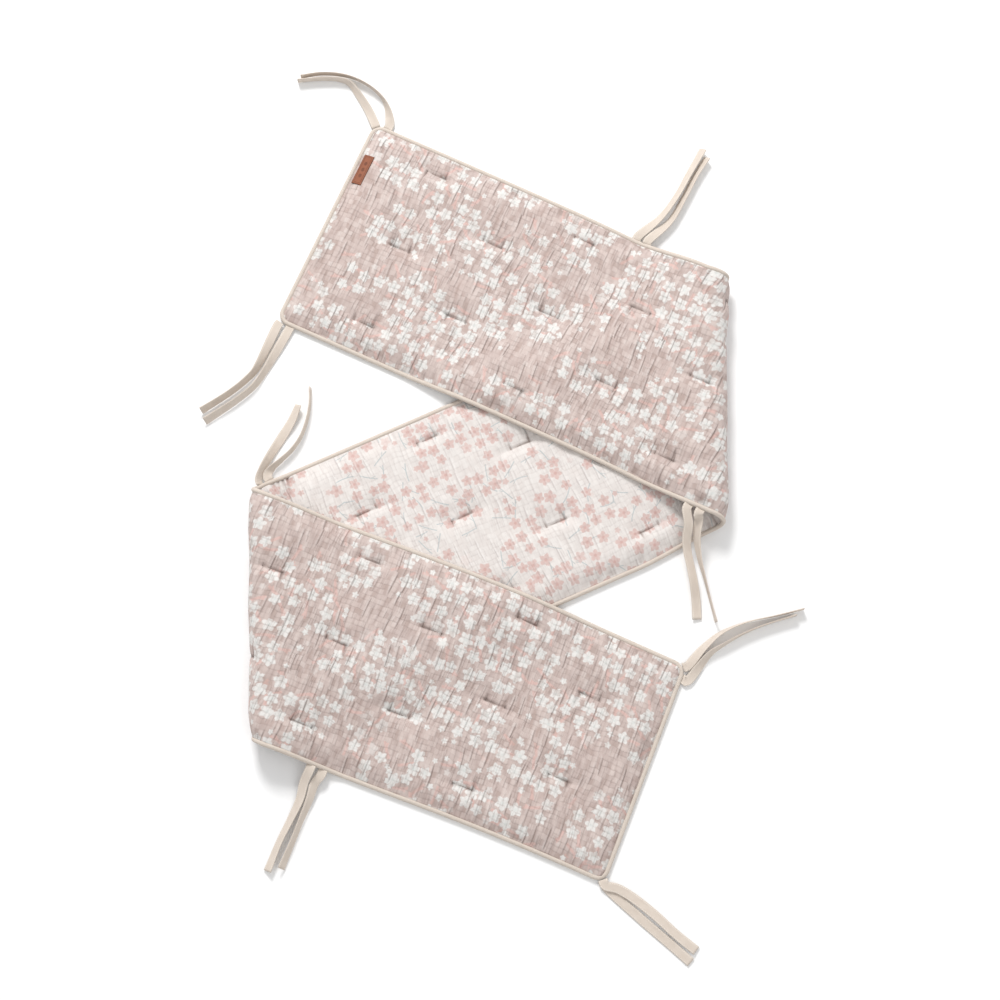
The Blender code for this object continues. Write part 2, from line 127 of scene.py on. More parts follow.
# The leather tab, the tufting thread and the ties
TAB_U = (0.0085, 0.0225)
TAB_V = (0.046, 0.089)
TAB_THICKNESS = 0.0012
TAB_LIFT = 0.0009
TAB_EDGE = 0.0012  # how wide its edges are rounded over, and how deep
TAB_EASE = 0.0005
THREAD_RADII = (0.00045, 0.0004)
THREAD_DIP = 0.0012  # how deep a stitch's ends go in
TAPE_WIDTH = 0.012
TAPE_THICKNESS = 0.0016
TAPE_LEAD = 0.006
TAPE_ROOT = 0.002  # how far a tape runs into the seam
TAPE_HEM = 0.009
TAPE_STEP = 0.003
TIES = {
    "tie_1_a": {
        "sewn": (0.0030, 0.0030), "out": (-1, -1),
        "route": (
            (-0.180, 0.538, 0.0004, 25), (-0.192, 0.557, 0.0004, 45), (-0.204, 0.573, 0.0004, 65),
            (-0.219, 0.579, 0.0004, 82), (-0.238, 0.580, 0.0004, 88), (-0.256, 0.579, 0.0004, 90),
            (-0.274, 0.577, 0.0004, 90),
        ),
    },
    "tie_1_b": {
        "sewn": (0.0190, -0.0014), "out": (0, -1),
        "route": (
            (-0.153, 0.536, 0.0004, 50), (-0.161, 0.553, 0.0004, 80), (-0.176, 0.568, 0.0004, 90),
            (-0.197, 0.580, 0.0004, 92), (-0.220, 0.586, 0.0004, 90), (-0.244, 0.587, 0.0004, 90),
            (-0.270, 0.583, 0.0004, 90),
        ),
    },
    "tie_2_a": {
        "sewn": (0.0062, 0.3014), "out": (-0.2, 1),
        "route": (
            (-0.319, 0.183, 0.0004, 50), (-0.334, 0.164, 0.0004, 60), (-0.353, 0.148, 0.0004, 62),
            (-0.372, 0.135, 0.0004, 60), (-0.391, 0.123, 0.0004, 55),
        ),
    },
    "tie_2_b": {
        "sewn": (0.0208, 0.3014), "out": (0, 1),
        "route": (
            (-0.308, 0.179, 0.0004, 50), (-0.323, 0.156, 0.0004, 60), (-0.345, 0.137, 0.0004, 60),
            (-0.365, 0.123, 0.0004, 52), (-0.386, 0.109, 0.0004, 45),
        ),
    },
    "tie_3_a": {
        "sewn": (0.3838, -0.0014), "out": (0, -1),
        "route": (
            (0.208, 0.386, 0.0004, 40), (0.230, 0.416, 0.0004, 48), (0.248, 0.449, 0.0004, 45),
            (0.266, 0.481, 0.0004, 40),
        ),
    },
    "tie_3_b": {
        "sewn": (0.3984, -0.0014), "out": (0, -1),
        "route": (
            (0.221, 0.381, 0.0006, 42), (0.240, 0.414, 0.0004, 50), (0.256, 0.445, 0.0004, 50),
            (0.271, 0.469, 0.0004, 45),
        ),
    },
    "tie_4_a": {
        "sewn": (0.5900, 0.3014), "out": (0, 1),
        "route": (
            (0.236, -0.032, 0.0300, 0), (0.234, -0.048, 0.0210, 10), (0.235, -0.064, 0.0140, 20),
            (0.239, -0.083, 0.0105, 25), (0.243, -0.104, 0.0085, 20), (0.246, -0.128, 0.0030, 10),
            (0.247, -0.150, 0.0004, 8),
        ),
    },
    "tie_4_b": {
        "sewn": (0.6060, 0.3016), "out": (0, 1),
        "route": (
            (0.249, -0.026, 0.0300, -15), (0.247, -0.042, 0.0210, -35), (0.248, -0.058, 0.0130, -55),
            (0.251, -0.076, 0.0095, -70), (0.256, -0.096, 0.0085, -80), (0.263, -0.123, 0.0030, -85),
            (0.271, -0.154, 0.0004, -85),
        ),
    },
    "tie_5_a": {
        "sewn": (1.1870, -0.0014), "out": (0, -1), "roll": -45,
        "route": (
            (-0.309, 0.047, 0.0030, -50), (-0.299, 0.066, 0.0010, -35), (-0.286, 0.088, 0.0006, -10),
            (-0.274, 0.109, 0.0004, 20), (-0.265, 0.131, 0.0004, 45),
        ),
    },
    "tie_5_b": {
        "sewn": (1.1720, -0.0014), "out": (0, -1), "roll": -5,
        "route": (
            (-0.297, 0.047, 0.0006, -55), (-0.285, 0.058, 0.0004, -72), (-0.272, 0.071, 0.0004, -76),
            (-0.261, 0.088, 0.0004, -78), (-0.254, 0.108, 0.0004, -80), (-0.250, 0.131, 0.0004, -82),
            (-0.250, 0.154, 0.0004, -82),
        ),
    },
    "tie_6_a": {
        "sewn": (1.4260, 0.3012), "out": (0, 1),
        "route": (
            (-0.249, -0.358, 0.0100, -10), (-0.254, -0.378, 0.0045, -25), (-0.265, -0.402, 0.0010, -40),
            (-0.279, -0.431, 0.0004, -45), (-0.293, -0.467, 0.0004, -35),
        ),
    },
    "tie_6_b": {
        "sewn": (1.4410, 0.3012), "out": (0, 1),
        "route": (
            (-0.236, -0.359, 0.0060, 25), (-0.242, -0.379, 0.0030, 45), (-0.252, -0.404, 0.0010, 60),
            (-0.264, -0.435, 0.0004, 60), (-0.276, -0.464, 0.0004, 50),
        ),
    },
    "tie_7_a": {
        "sewn": (1.8170, 0.0030), "out": (1, -1),
        "route": (
            (0.254, -0.187, 0.0004, 40), (0.278, -0.167, 0.0004, 65), (0.310, -0.154, 0.0004, 80),
            (0.347, -0.146, 0.0004, 88), (0.383, -0.137, 0.0004, 88),
        ),
    },
    "tie_7_b": {
        "sewn": (1.8216, 0.0175), "out": (1, -0.1),
        "route": (
            (0.261, -0.196, 0.0004, -55), (0.280, -0.183, 0.0004, -75), (0.305, -0.169, 0.0004, -86),
            (0.334, -0.157, 0.0004, -92), (0.373, -0.145, 0.0004, -92),
        ),
    },
    "tie_8_a": {
        "sewn": (1.8170, 0.2970), "out": (1, 1), "rise": 0.0012,
        "route": (
            (0.144, -0.489, 0.0028, 0), (0.165, -0.502, 0.0028, 4), (0.190, -0.522, 0.0022, 10),
            (0.214, -0.544, 0.0012, 12), (0.239, -0.564, 0.0004, 8),
        ),
    },
    "tie_8_b": {
        "sewn": (1.8170, 0.2970), "out": (1, 1), "rise": -0.0011,
        "route": (
            (0.137, -0.495, 0.0004, 0), (0.156, -0.512, 0.0004, 0), (0.181, -0.534, 0.0004, 0),
            (0.207, -0.556, 0.0004, 0), (0.232, -0.578, 0.0004, 0),
        ),
    },
}

# Colours of the cloths, as drawn under the studio light below; besides the cloths' own colours they hold
# painted highlight and painted shade
FACE = {
    # The third, paler ground shade is a painted highlight on the raised bands
    "ground": ((0.525, 0.413, 0.379), (0.500, 0.416, 0.389), (0.585, 0.486, 0.449)),
    "twig": (0.650, 0.440, 0.398),
    "flower": (0.735, 0.718, 0.692),
    "petal": (0.48, 0.45, 0.43),
    "heart": (0.52, 0.58, 0.56),
    # Painted highlight on the raised bands and ridges; painted shade in the low bands, pocket edges, creases,
    # stitched hollows and pleats
    "ridge_highlight": (0.76, 0.70, 0.67),
    "hollow_shade": (0.32, 0.22, 0.18),
    "pocket_and_crease_shade": (0.28, 0.21, 0.19),
    "crease_shade": (0.14, 0.090, 0.076),
    "pinch_shade": (0.085, 0.052, 0.042),
}
REVERSE = {
    # The third, paler ground shade is a painted highlight on the raised bands
    "ground": ((0.695, 0.638, 0.605), (0.670, 0.628, 0.602), (0.728, 0.686, 0.656)),
    "twig": (0.430, 0.475, 0.480),
    "flower": (0.620, 0.450, 0.415),
    "petal": (0.670, 0.628, 0.602),
    "heart": (0.50, 0.27, 0.24),
    # Painted highlight on the ridges; painted shade along the pocket edges, creases, stitched hollows and
    # pleats
    "ridge_highlight": (0.84, 0.81, 0.79),
    "pocket_and_crease_shade": (0.44, 0.38, 0.36),
    "crease_shade": (0.36, 0.28, 0.26),
    "pinch_shade": (0.150, 0.080, 0.058),
}

# The cloths' patterns, in millimetres
POCKET_U = 6.4
POCKET_V = 6.8
WEAVE_PITCH = 1.1
CREASE_VARIETY = 0.9  # how much the creases differ in strength
TWIG_BEND = 0.028
PINCH_SHADE_POWER = 1.8
TURN = 6.283

# The camera: where it looks from the strip's middle, how far off and how far from straight down
LOOK_AT = (-0.0037, 0.0060, 0.0)
DISTANCE = 3.0
TILT = math.radians(12.0)
LENS = 83.9


def smooth(t):
    """An S-curve from 0 to 1."""
    t = np.clip(t, 0.0, 1.0)
    return t * t * (3.0 - 2.0 * t)


def unit(vectors):
    """The same directions at length 1."""
    return vectors / np.linalg.norm(vectors, axis=-1, keepdims=True)


def run_length(path):
    """How far along a path each of its points is."""
    return np.concatenate([[0], np.cumsum(np.linalg.norm(np.diff(path, axis=0), axis=1))])


# -------------------- the folded strip


def reach_past_fold(fold, flat):
    """How far points of the unfolded sheet lie past a fold's line, and the line's outward direction."""
    out = fold["side"] * np.array([math.cos(fold["lean"]), math.sin(fold["lean"])])
    on_line = (fold["at"] - STRIP_LENGTH / 2) * ALONG
    return (flat - on_line) @ out, out


def lay(u, v):
    """Where the sheet's middle lies, how flat it lies (0 in a fold), and how far it has turned over."""
    u, v = np.broadcast_arrays(np.asarray(u, float), np.asarray(v, float))
    flat = (u - STRIP_LENGTH / 2)[..., None] * ALONG + (v - STRIP_WIDTH / 2)[..., None] * ACROSS
    place = np.concatenate([flat, np.full(u.shape + (1,), HALF_THICKNESS)], axis=-1)
    level = np.ones(u.shape)
    turned = np.zeros(u.shape)
    for fold in FOLDS:
        past, out = reach_past_fold(fold, flat)
        level = np.minimum(level, smooth(-past / (0.4 * SETTLE)))
        turned = np.maximum(turned, smooth(past / BEND))
        back = ACROSS - 2 * (ACROSS @ out) * out
        angle = np.clip(past / FOLD_RADIUS, 0.0, math.pi)
        beyond = np.clip(past - BEND, 0.0, None)
        reach = np.where(past > 0, FOLD_RADIUS * np.sin(angle) - beyond, past)
        slip = fold["slip"] * smooth(past / BEND) * np.exp(-((beyond / SLIP_FADE) ** 2))
        bow = fold["bow"] * np.sin(np.pi * np.clip(beyond / BOW_SPAN, 0.0, 1.2))
        nip = fold["nip"][0] + (fold["nip"][1] - fold["nip"][0]) * smooth(v / NIP_WIDTH)
        reach = reach + nip * np.where(past > 0, np.sin(angle), 0.0)
        tucked = smooth((past + SETTLE) / SETTLE)[..., None] * np.array(fold["shift"])
        spot = flat + (reach - past)[..., None] * out + (slip + bow)[..., None] * back
        over = spot @ ACROSS + STRIP_WIDTH / 2
        outside = -over if fold["side"] > 0 else over - STRIP_WIDTH
        drape = 1.0 - smooth((outside - DRAPE_START) / DRAPE_WIDTH)
        settled = smooth(beyond / SETTLE)
        rise = (1 - settled) * 2 * FOLD_RADIUS + settled * LAYER * drape
        rise = np.where(beyond > 0, rise, FOLD_RADIUS * (1 - np.cos(angle)))
        place[..., :2] += tucked
        spot = spot + tucked
        moved = past > 0
        place[moved, :2] = spot[moved]
        place[moved, 2] = HALF_THICKNESS + rise[moved]
        level = np.where(beyond > 0, settled, level)
    return place, level, turned


def face_normal(u, v):
    """The direction from the sheet's middle to its face side."""
    step = 0.0005
    du = lay(u + step, v)[0] - lay(u - step, v)[0]
    dv = lay(u, v + step)[0] - lay(u, v - step)[0]
    return unit(np.cross(dv, du))


def seam_distance(u, v):
    """How far a point of the panel is from its nearest seam."""
    ends = np.minimum(u - SEAM, STRIP_LENGTH - SEAM - u)
    sides = np.minimum(v - SEAM, STRIP_WIDTH - SEAM - v)
    return np.clip(np.minimum(ends, sides), 0.0, None)


def sagged(u, v):
    """The sheet's middle with its seams sagging, plus how level and how turned it is there."""
    place, level, turned = lay(u, v)
    sag = SEAM_DROP * (1 - smooth(seam_distance(u, v) / SAG_WIDTH)) * level
    place = place.copy()
    place[..., 2] -= sag
    return place, level, turned, sag


# -------------------- the cloth's relief


def value_noise(u, v, size_u, size_v, seed):
    """Smooth noise from 0 to 1, with bumps about size_u by size_v."""
    grid = np.random.default_rng(seed).random((512, 512))
    x, y = u / size_u + 7.3, v / size_v + 3.1
    i, j = np.floor(x).astype(int), np.floor(y).astype(int)
    s, t = smooth(x - i), smooth(y - j)
    i, j, k, m = i % 512, j % 512, (i + 1) % 512, (j + 1) % 512
    low = grid[i, j] * (1 - s) + grid[k, j] * s
    high = grid[i, m] * (1 - s) + grid[k, m] * s
    return low * (1 - t) + high * t


def tuft_places():
    """The middles of the tufting stitches, as (u, v)."""
    places = []
    column = 0
    while TUFT_FIRST + column * TUFT_PITCH < STRIP_LENGTH - TUFT_END:
        for v in TUFT_ROWS[column % 2 :: 2]:
            places.append((TUFT_FIRST + column * TUFT_PITCH, v))
        column += 1
    return places


def tuft_relief(u, v):
    """What the tufting pulls in, from 0 to 1: broad hollows, narrow grooves with creases, and the painted
    shade of their sides.
    """
    rng = np.random.default_rng(5)
    dimple, groove, shade = np.zeros((3,) + u.shape)
    for tuft_u, tuft_v in tuft_places():
        near = (np.abs(u - tuft_u) < TUFT_NEAR) & (np.abs(v - tuft_v) < TUFT_NEAR)
        du, dv = u[near] - tuft_u, v[near] - tuft_v
        from_line = np.clip(np.abs(du) - TUFT_LENGTH / 2, 0.0, None)
        # The cloth slopes down gently to the stitch on one side and bulges over it on the other
        spread = np.where(dv < 0, TUFT_SPREAD, 0.45 * TUFT_SPREAD)
        broad = np.exp(-(from_line**2) / TUFT_SPREAD**2 - dv**2 / spread**2)
        away = smooth(np.hypot(from_line, dv) / 0.012)
        spokes = 1 + SPOKE_DEPTH * np.cos(SPOKES * np.arctan2(dv, du) + tuft_u * 900) * away
        dimple[near] = np.maximum(dimple[near], broad * spokes)
        # Creases leave both ends of the stitch across the strip, one of them long and deep
        long_end = rng.choice((-1, 1))
        deeper = 0.72 + 0.28 * np.clip(long_end * du / (TUFT_LENGTH / 2), -1, 1)
        narrow = deeper * np.exp(-(dv**2) / GROOVE_WIDTH**2 - (from_line / 0.004) ** 2)
        # Painted shade on the stitch's north side, which slopes down away from the light
        north = np.exp(-((dv / np.where(dv < 0, 0.0075, 0.0020)) ** 2) - (from_line / 0.005) ** 2)
        shade[near] = np.maximum(shade[near], north * deeper**2)
        for end in (-1, 1):
            way = rng.choice((-1, -1, 1))
            reach = rng.uniform(*(LONG_CREASE if end == long_end else SHORT_CREASE))
            lean = rng.uniform(-CREASE_LEAN, CREASE_LEAN)
            off = du - end * TUFT_LENGTH / 2 - lean * dv
            fade = smooth(1 - dv * way / reach) * (dv * way > -0.001)
            narrow = np.maximum(narrow, 0.9 * fade * np.exp(-(off**2) / CREASE_WIDTH**2))
        groove[near] = np.maximum(groove[near], narrow)
    return dimple, groove, shade


def crinkle(u, v, seed):
    """Soft creases across the strip, from about -1 in a crease to 1 between them."""
    wave = value_noise(u + 0.003 * value_noise(u, v, 0.04, 0.06, seed), v, 0.0100, 0.030, seed + 1)
    small = value_noise(u, v, 0.011, 0.012, seed + 2)
    return 1.2 * (wave - 0.5) + 0.9 * (small - 0.5)


def gathers(u, v):
    """Pleats on the reverse that run into the two folds, where the padding crowds together."""
    total = np.zeros(u.shape)
    for at, edge, lean, depth, reach in PLEATS:
        inward = np.abs(v - edge)
        line = np.exp(-(((u - at - lean * inward) / PLEAT_WIDTH) ** 2))
        total = np.maximum(total, depth * line * (1 - smooth(inward / reach)))
    return total


def side_relief(u, v, seed, gathered):
    """What one side of the cloth adds to the plain padding's height, and its painted shade in hollows and
    pleats (0 to 1).
    """
    dimple, groove, shade = tuft_relief(u, v)
    from_seam = seam_distance(u, v)
    free = smooth(from_seam / 0.012)
    puff = PUFF_HEIGHT * (value_noise(u, v, 0.042, 0.046, seed + 5) - 0.4) * (1 - dimple)
    near_seam = np.exp(-((from_seam / 0.018) ** 2)) * smooth(from_seam / 0.003)
    pleats = value_noise(u, v, 0.0062, 0.030, seed + 9)
    fine = CRINKLE_HEIGHT * crinkle(u, v, seed) * free
    crowd = gathers(u, v) * gathered
    height = puff * free + fine + SEAM_PLEAT_HEIGHT * (pleats - 0.5) * near_seam
    height = height - TUFT_DIMPLE * dimple * free - TUFT_GROOVE * groove - GATHER_DEPTH * crowd
    # Painted shade in the grooves, on the stitches' north sides, in the seam pleats' valleys and in the
    # gathers
    pinch_shade = np.maximum(np.maximum(groove, 0.46 * shade), 0.60 * near_seam * smooth((0.42 - pleats) / 0.3))
    return height, np.maximum(pinch_shade, 0.9 * crowd)


def panel_sides(u, v, detailed=True):
    """Points of the panel's face and of its reverse, and the painted shade of each one's hollows and pleats.
    """
    place, level, turned, sag = sagged(u, v)
    from_seam = seam_distance(u, v)
    full = 1 - (1 - np.clip(from_seam / CROWN_WIDTH, 0.0, 1.0)) ** 2
    upper = SEAM_HALF + (HALF_THICKNESS - SEAM_HALF) * full
    curl = np.clip(1 - from_seam / CURL_WIDTH, 0.0, 1.0) ** 2
    resting = (HALF_THICKNESS - sag) * (1 - curl) + SEAM_HALF * curl
    lower = level * resting + (1 - level) * upper
    face = lower + (upper - lower) * turned
    back = upper + (lower - upper) * turned
    face_pinch_shade = back_pinch_shade = np.zeros(u.shape)
    if detailed:
        # Only the side that looks up has it: the other rests on the floor or on the cloth below
        relief, pinch_shade = side_relief(u, v, 11, 0.0)
        face = face + relief * turned
        face_pinch_shade = pinch_shade * np.maximum(turned, 1 - level)
        relief, pinch_shade = side_relief(u, v, 47, 1.0)
        back = back + relief * (1 - turned)
        back_pinch_shade = pinch_shade * np.maximum(1 - turned, 1 - level)
    normal = face_normal(u, v)
    face, back = place + normal * face[..., None], place - normal * back[..., None]
    return face, back, face_pinch_shade, back_pinch_shade


# -------------------- mesh building


def add_object(name, verts, faces, uvs=None, materials=(), indices=None):
    """A mesh object; uvs are strip coordinates of the vertices."""
    mesh = bpy.data.meshes.new(name)
    mesh.from_pydata(np.asarray(verts, float).tolist(), [], np.asarray(faces).tolist())
    if uvs is not None:
        layer = mesh.uv_layers.new(name="strip")
        corner = np.empty(len(mesh.loops), int)
        mesh.loops.foreach_get("vertex_index", corner)
        layer.data.foreach_set("uv", np.asarray(uvs, np.float32)[corner].ravel())
    for material in materials:
        mesh.materials.append(material)
    if indices is not None:
        mesh.polygons.foreach_set("material_index", np.asarray(indices, np.int32))
    mesh.update()
    mesh.shade_smooth()
    obj = bpy.data.objects.new(name, mesh)
    bpy.context.collection.objects.link(obj)
    return obj


def grid_faces(rows, columns, start=0, flip=False):
    """The quads of a grid of vertices, numbered from `start`."""
    index = np.arange(rows * columns).reshape(rows, columns) + start
    quads = np.stack([index[:-1, :-1], index[1:, :-1], index[1:, 1:], index[:-1, 1:]], axis=-1).reshape(-1, 4)
    return quads[:, ::-1] if flip else quads


def slab(name, top, bottom, uvs, materials, bottom_index=0, pinch_shade=None):
    """A closed solid between two grids of points; its top and bottom may differ in material."""
    rows, columns = top.shape[:2]
    count = rows * columns
    index = np.arange(count).reshape(rows, columns)
    rim = np.concatenate([index[0, :-1], index[:-1, -1], index[-1, :0:-1], index[:0:-1, 0]])
    after = np.roll(rim, -1)
    walls = np.stack([rim, after, after + count, rim + count], axis=-1)
    upper = grid_faces(rows, columns)
    lower = grid_faces(rows, columns, count, flip=True)
    faces = np.concatenate([upper, lower, walls])
    indices = np.concatenate([np.zeros(len(upper)), np.full(len(lower), bottom_index), np.zeros(len(walls))])
    verts = np.concatenate([top.reshape(-1, 3), bottom.reshape(-1, 3)])
    obj = add_object(name, verts, faces, np.concatenate([uvs, uvs]), materials, indices)
    outward(obj)
    if pinch_shade is not None:
        obj.data.attributes.new("pinch_shade", "FLOAT", "POINT").data.foreach_set("value", pinch_shade.astype(np.float32))
    return obj


def ring_faces(count, sides, closed=False):
    """The quads between rings of vertices, and from the last ring to the first if they close up."""
    faces = []
    for i in range(count if closed else count - 1):
        for j in range(sides):
            k, n = (j + 1) % sides, (i + 1) % count
            faces.append((i * sides + j, i * sides + k, n * sides + k, n * sides + j))
    return faces


def edit(obj, change):
    """Makes a change to an object's mesh as a bmesh."""
    bm = bmesh.new()
    bm.from_mesh(obj.data)
    change(bm)
    bm.to_mesh(obj.data)
    bm.free()


def outward(obj):
    """Turns every face outwards."""
    edit(obj, lambda bm: bmesh.ops.recalc_face_normals(bm, faces=bm.faces))


def cap_ends(obj):
    """Closes the open ends."""
    edit(obj, lambda bm: bmesh.ops.holes_fill(bm, edges=[e for e in bm.edges if e.is_boundary], sides=0))


def tube(name, path, sides, radii, upwards, closed, material):
    """A tube along a path, its section an ellipse with the given half widths sideways and upwards."""
    tangent = np.gradient(path, axis=0)
    if closed:
        tangent = np.roll(path, -1, axis=0) - np.roll(path, 1, axis=0)
    tangent = unit(tangent)
    side = unit(np.cross(tangent, upwards))
    up = np.cross(side, tangent)
    turns = np.arange(sides) * 2 * math.pi / sides
    ring = radii[0] * np.cos(turns)[None, :, None] * side[:, None]
    ring = ring + radii[1] * np.sin(turns)[None, :, None] * up[:, None]
    verts = (path[:, None] + ring).reshape(-1, 3)
    uvs = np.stack(np.broadcast_arrays(run_length(path)[:, None], turns[None, :] * radii[0]), axis=-1)
    obj = add_object(name, verts, ring_faces(len(path), sides, closed), uvs.reshape(-1, 2), [material])
    if not closed:
        cap_ends(obj)
    outward(obj)
    return obj


# -------------------- shader arithmetic


class Term:
    """A number in a material's nodes. Arithmetic on it adds Math nodes."""

    def __init__(self, tree, socket):
        self.tree = tree
        self.socket = socket

    def math(self, operation, *others):
        node = self.tree.nodes.new("ShaderNodeMath")
        node.operation = operation
        for slot, value in zip(node.inputs, (self, *others)):
            connect(self.tree, value, slot)
        return Term(self.tree, node.outputs[0])

    def __add__(self, other):
        return self.math("ADD", other)

    def __sub__(self, other):
        return self.math("SUBTRACT", other)

    def __rsub__(self, other):
        return (self * -1) + other

    def __mul__(self, other):
        return self.math("MULTIPLY", other)

    def __truediv__(self, other):
        return self.math("DIVIDE", other)

    def __abs__(self):
        return self.math("ABSOLUTE")

    __radd__ = __add__

    def wave(self, pitch):
        """A sine that repeats every `pitch`."""
        return (self * (2 * math.pi / pitch)).math("SINE")

    def clamp(self):
        node = self.tree.nodes.new("ShaderNodeClamp")
        self.tree.links.new(self.socket, node.inputs[0])
        return Term(self.tree, node.outputs[0])

    def step(self, start, end):
        """0 at start and 1 at end, smoothly; start may be the greater."""
        node = self.tree.nodes.new("ShaderNodeMapRange")
        node.interpolation_type = "SMOOTHSTEP"
        self.tree.links.new(self.socket, node.inputs[0])
        for slot, value in zip(node.inputs[1:5], (start, end, 0.0, 1.0)):
            connect(self.tree, value, slot)
        return Term(self.tree, node.outputs[0])


def connect(tree, value, slot):
    """Gives a node's input a term or a plain number."""
    if isinstance(value, Term):
        tree.links.new(value.socket, slot)
    else:
        slot.default_value = value


class Cloth:
    """A material under construction: its nodes, and the flat coordinates u and v in millimetres."""

    def __init__(self, name):
        self.material = bpy.data.materials.new(name)
        self.material.use_nodes = True
        self.tree = self.material.node_tree
        self.shader = self.tree.nodes["Principled BSDF"]
        uv = self.tree.nodes.new("ShaderNodeUVMap")
        uv.uv_map = "strip"
        u, v, _ = self.split(uv.outputs[0])
        self.u, self.v = u * 1000, v * 1000

    def split(self, socket):
        """The three parts of a vector or colour."""
        node = self.tree.nodes.new("ShaderNodeSeparateXYZ")
        self.tree.links.new(socket, node.inputs[0])
        return [Term(self.tree, part) for part in node.outputs]

    def point(self, x, y):
        """A place in the flat as a vector."""
        node = self.tree.nodes.new("ShaderNodeCombineXYZ")
        connect(self.tree, x, node.inputs[0])
        connect(self.tree, y, node.inputs[1])
        return node.outputs[0]

    def noise(self, x, y, detail=1.0, roughness=0.5):
        """Smooth noise from 0 to 1."""
        node = self.tree.nodes.new("ShaderNodeTexNoise")
        node.noise_dimensions = "2D"
        node.inputs["Scale"].default_value = 1.0
        node.inputs["Detail"].default_value = detail
        node.inputs["Roughness"].default_value = roughness
        self.tree.links.new(self.point(x, y), node.inputs["Vector"])
        return Term(self.tree, node.outputs[0])

    def chance(self, x, y):
        """A random number from 0 to 1 for each pair of whole numbers."""
        node = self.tree.nodes.new("ShaderNodeTexWhiteNoise")
        node.noise_dimensions = "2D"
        self.tree.links.new(self.point(x, y), node.inputs["Vector"])
        return Term(self.tree, node.outputs["Value"])

    def cells(self, x, y, randomness):
        """Voronoi cells: the offset from the nearest cell's point, that point, and three random numbers."""
        node = self.tree.nodes.new("ShaderNodeTexVoronoi")
        node.voronoi_dimensions = "2D"
        node.inputs["Scale"].default_value = 1.0
        node.inputs["Randomness"].default_value = randomness
        self.tree.links.new(self.point(x, y), node.inputs["Vector"])
        px, py, _ = self.split(node.outputs["Position"])
        return (x - px, y - py), (px, py), self.split(node.outputs["Color"])

    def scattered(self, cell, randomness, shift):
        """Cells of a size in millimetres: offsets x, y from the point, the point, and random numbers."""
        x, y = (self.u + shift) / cell, (self.v + shift) / cell
        (dx, dy), point, chance = self.cells(x, y, randomness)
        return dx * cell, dy * cell, point, chance

    def patches(self, point, cell, gate):
        """Noise that says how thickly the print grows round a cell's point."""
        return self.noise(point[0] * cell / gate["size"], point[1] * cell / gate["size"])

    def layers(self, color, *coats):
        """Lays coats of mask, strength and colour over a colour, one after another."""
        for mask, strength, coat in coats:
            color = self.mix(mask * strength, color, coat)
        return color

    def mix(self, factor, below, above):
        """Two colours mixed: the lower one where the factor is 0."""
        node = self.tree.nodes.new("ShaderNodeMix")
        node.data_type = "RGBA"
        connect(self.tree, factor, node.inputs[0])
        for value, slot in ((below, node.inputs[6]), (above, node.inputs[7])):
            if isinstance(value, tuple):
                slot.default_value = (*value, 1.0)
            else:
                self.tree.links.new(value, slot)
        return node.outputs[2]

    def finish(self, color, height, strength, distance, roughness, sheen=0.0):
        """Connects the colour and the bump, and sets what is the same all over."""
        self.tree.links.new(color, self.shader.inputs["Base Color"])
        bump = self.tree.nodes.new("ShaderNodeBump")
        bump.inputs["Strength"].default_value = strength
        bump.inputs["Distance"].default_value = distance
        connect(self.tree, height, bump.inputs["Height"])
        self.tree.links.new(bump.outputs[0], self.shader.inputs["Normal"])
        self.shader.inputs["Roughness"].default_value = roughness
        self.shader.inputs["Specular IOR Level"].default_value = 0.25
        self.shader.inputs["Sheen Weight"].default_value = sheen
        self.shader.inputs["Sheen Roughness"].default_value = 0.6
        return self.material


# -------------------- materials


def lines_across(cloth, u, v, apart, long, width):
    """Broken creases across the strip, about one every `apart` and up to `long`, and their ridges."""
    (dx, dy), _, chance = cloth.cells(u / apart, v / long, 1.0)
    ends = abs(dy).step(0.62, 0.30) * (chance[0] * CREASE_VARIETY + (1 - CREASE_VARIETY))
    line = abs(dx * apart).step(width, width * 0.15) * ends
    ridge_highlight = abs(dx * apart + width * 1.9).step(width * 1.5, width * 0.4) * ends
    return line, ridge_highlight


def muslin_relief(cloth, shift):
    """The crinkled double gauze: its creases, ridges, pocket edges and soft bands, and its height."""
    u, v = cloth.u + shift, cloth.v
    bent_u = u + cloth.noise(u / 70, v / 80) * 9
    bent_v = v + cloth.noise(u / 60 + 20, v / 60) * 6
    strong, ridge_highlight = lines_across(cloth, bent_u, bent_v, 15.0, 30.0, 1.15)
    fine, small_ridge_highlight = lines_across(cloth, bent_u + 90, bent_v, 6.2, 13.0, 1.0)
    ridge_highlight = (ridge_highlight + small_ridge_highlight * 0.5).clamp()
    # The gauze's small square pockets
    bent_v = bent_v + cloth.noise(u / 12, v / 40) * 4
    pocket_u, pocket_v = bent_u / POCKET_U, bent_v / POCKET_V
    across = abs(pocket_u.math("FRACT") - 0.5).step(0.24, 0.5)
    along = abs(pocket_v.math("FRACT") - 0.5).step(0.24, 0.5)
    patchy = cloth.noise(u / 17, v / 17, detail=2.0).step(0.42, 0.62)
    pockets = (across * 0.60 + along * 0.70) * (patchy * 0.75 + 0.25)
    squares = cloth.chance(pocket_u.math("FLOOR"), pocket_v.math("FLOOR"))
    bands = cloth.noise(bent_u / 6.5, bent_v / 22.0, detail=0.5) * 0.65 + squares * 0.35
    weave = u.wave(WEAVE_PITCH) * v.wave(WEAVE_PITCH)
    height = bands * 1.1 - pockets * 0.35 - fine * 0.45 - strong * 0.9 + ridge_highlight * 0.5 + weave * 0.04 + 1.5
    return strong, ridge_highlight, fine, pockets, bands, height


